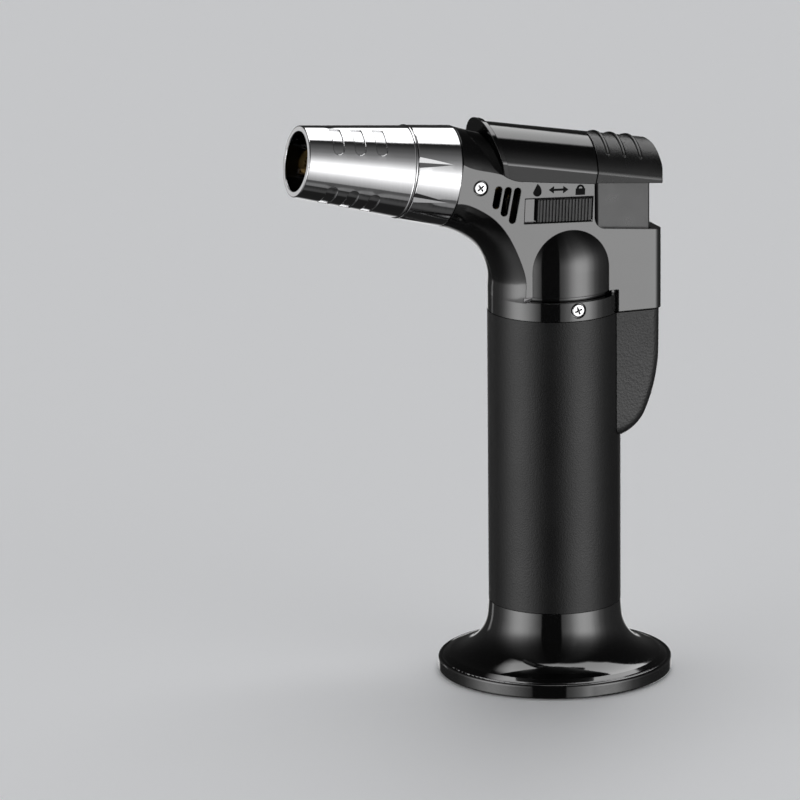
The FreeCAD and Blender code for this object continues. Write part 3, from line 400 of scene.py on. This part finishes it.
def chrome():
    """Plated and buffed: slightly uneven, with hairlines round the tube."""
    c = Coat("chrome").set(Metallic=1.0)
    c.soft_edges(radius=0.12 * MM)
    c.tone(c.n.noise(scale=140, detail=4), dark=(0.6, 0.6, 0.61), light=(0.7, 0.7, 0.71))
    c.roughness(c.n.noise(scale=90, detail=6, stretch=(12, 1, 1)), low=0.035, high=0.09)
    c.relief(c.n.noise(scale=260, stretch=(6, 1, 1)), depth=4 * MICRON)
    return c.material


def turned_metal(name, dark, light, rough):
    """Machined metal with fine turning lines and dull spots."""
    c = Coat(name).set(Metallic=1.0)
    c.tone(c.n.noise(scale=300, detail=5), dark, light)
    c.roughness(c.n.noise(scale=800, detail=4, stretch=(1, 1, 5)), low=rough - 0.05, high=rough + 0.12)
    c.relief(c.n.noise(scale=1600, detail=2, stretch=(5, 1, 1)), depth=10 * MICRON)
    return c.material


def screw_steel():
    """Bright plated screws, with painted shade: ambient occlusion darkens the colour in the cross recess and
    the gap round the head.
    """
    c = Coat("screw_steel").set(Metallic=1.0)
    c.soft_edges(radius=0.1 * MM)
    # Painted shade: ambient occlusion darkens the screws' colour in the cross recess and round the head.
    shade = c.n.add("ShaderNodeAmbientOcclusion", samples=SHADE_SAMPLES)
    shade.inputs["Distance"].default_value = 0.6 * MM
    ao_painted_shade = c.n.spread(shade.outputs["AO"], 0.45, 0.85)
    stains = c.n.spread(c.n.noise(scale=900), 0.2, 0.5, to_low=0.8, to_high=1.0)
    c.tone(c.n.math("MULTIPLY", ao_painted_shade, stains), dark=(0.02, 0.02, 0.02), light=(0.86, 0.86, 0.87))
    c.roughness(c.n.noise(scale=1500), low=0.25, high=0.4)
    return c.material


def moulded(name, dark, light, rough, grain=900, depth=20 * MICRON, spec=0.4):
    """Plain moulded or extruded stuff with a little unevenness."""
    c = Coat(name).set(Specular_IOR_Level=spec)
    c.tone(c.n.noise(scale=grain / 4, detail=4), dark, light)
    c.roughness(c.n.noise(scale=grain / 3), low=rough - 0.05, high=rough + 0.1)
    c.relief(c.n.noise(scale=grain), depth)
    return c.material


def dress(names, material):
    for name in names:
        mesh = nodes[name].data
        mesh.materials.clear()
        mesh.materials.append(material)


def dress_outside():
    dress(["base_stand", "head_shell_left", "head_shell_right", "top_cover"], gloss_black())
    dress(["trigger_cap"], satin_black("cap_black", level=0.0035, rough=0.27, spec=0.75))
    dress(["trigger_slider"], satin_black("slider_black", level=0.009, rough=0.3, spec=0.75))
    dress(["lock_slider", "lock_clip"], satin_black("knob_black", level=0.006, rough=0.3, spec=0.5))
    dress(["lock_marks"], moulded("mark_ink", grey(0.001), grey(0.003), rough=0.55, spec=0.1))
    dress(["grip_sleeve"], grip_skin())
    dress(["rear_cover"], cover_skin())
    dress(["flame_tube", "air_ring"], chrome())
    dress(["ring_screws", "burner_screws"], screw_steel())


def dress_inside():
    nylon = moulded("smoke_nylon", (0.05, 0.05, 0.055), (0.09, 0.09, 0.1), rough=0.35, grain=500)
    dress(["fuel_tank", "tank_lid"], nylon)
    brass = turned_metal("brass", (0.36, 0.22, 0.07), (0.62, 0.43, 0.16), rough=0.3)
    dress(["mixing_tube", "flame_holder", "gas_jet", "fill_valve_body", "outlet_valve_body"], brass)
    dress(["fill_valve_stem", "outlet_valve_stem"], brass)
    steel = turned_metal("steel", (0.3, 0.3, 0.31), (0.52, 0.52, 0.54), rough=0.32)
    dress(["burner_mount", "lever_bracket", "lever_pin", "valve_lever"], steel)
    spring = turned_metal("spring_wire", (0.22, 0.22, 0.23), (0.42, 0.42, 0.44), rough=0.28)
    dress(["fill_valve_spring", "outlet_valve_spring", "piezo_spring"], spring)
    dress(["spark_electrode"], turned_metal("heat_wire", (0.14, 0.13, 0.16), (0.4, 0.36, 0.33), rough=0.35))
    dress(["fill_valve_seal", "outlet_valve_seal"], moulded("rubber", grey(0.006), grey(0.014), rough=0.6))
    dress(["gas_hose"], moulded("hose", (0.35, 0.33, 0.28), (0.48, 0.46, 0.4), rough=0.35, grain=600))
    wick = moulded("wick", (0.5, 0.47, 0.4), (0.72, 0.7, 0.63), rough=0.85, grain=2200,
                   depth=150 * MICRON, spec=0.1)
    dress(["fuel_wick"], wick)
    ceramic = moulded("ceramic", (0.66, 0.64, 0.6), (0.8, 0.79, 0.76), rough=0.4, grain=1200)
    dress(["electrode_insulator"], ceramic)
    case = moulded("piezo_case", (0.02, 0.05, 0.16), (0.03, 0.075, 0.22), rough=0.4, grain=700)
    dress(["piezo_body"], case)
    dress(["piezo_plunger"], moulded("plunger", (0.25, 0.03, 0.02), (0.36, 0.05, 0.035), rough=0.4, grain=700))
    dress(["ignition_wire"], moulded("wire_jacket", (0.3, 0.015, 0.012), (0.42, 0.03, 0.02), rough=0.4))


def working_spring(name):
    """A copy of the coil spring, hung on the torch's body in place of the imported one, which is hidden."""
    wire = bpy.data.objects.new(name + "_wire", nodes[name].data.copy())
    bpy.context.scene.collection.objects.link(wire)
    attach(wire, "torch")
    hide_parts(name)
    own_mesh(wire)


look_at_torch()
light_rig()
pale_floor()
dress_outside()
dress_inside()
working_spring("piezo_spring")
working_spring("outlet_valve_spring")
working_spring("fill_valve_spring")
bpy.context.scene.view_settings.view_transform = "Standard"
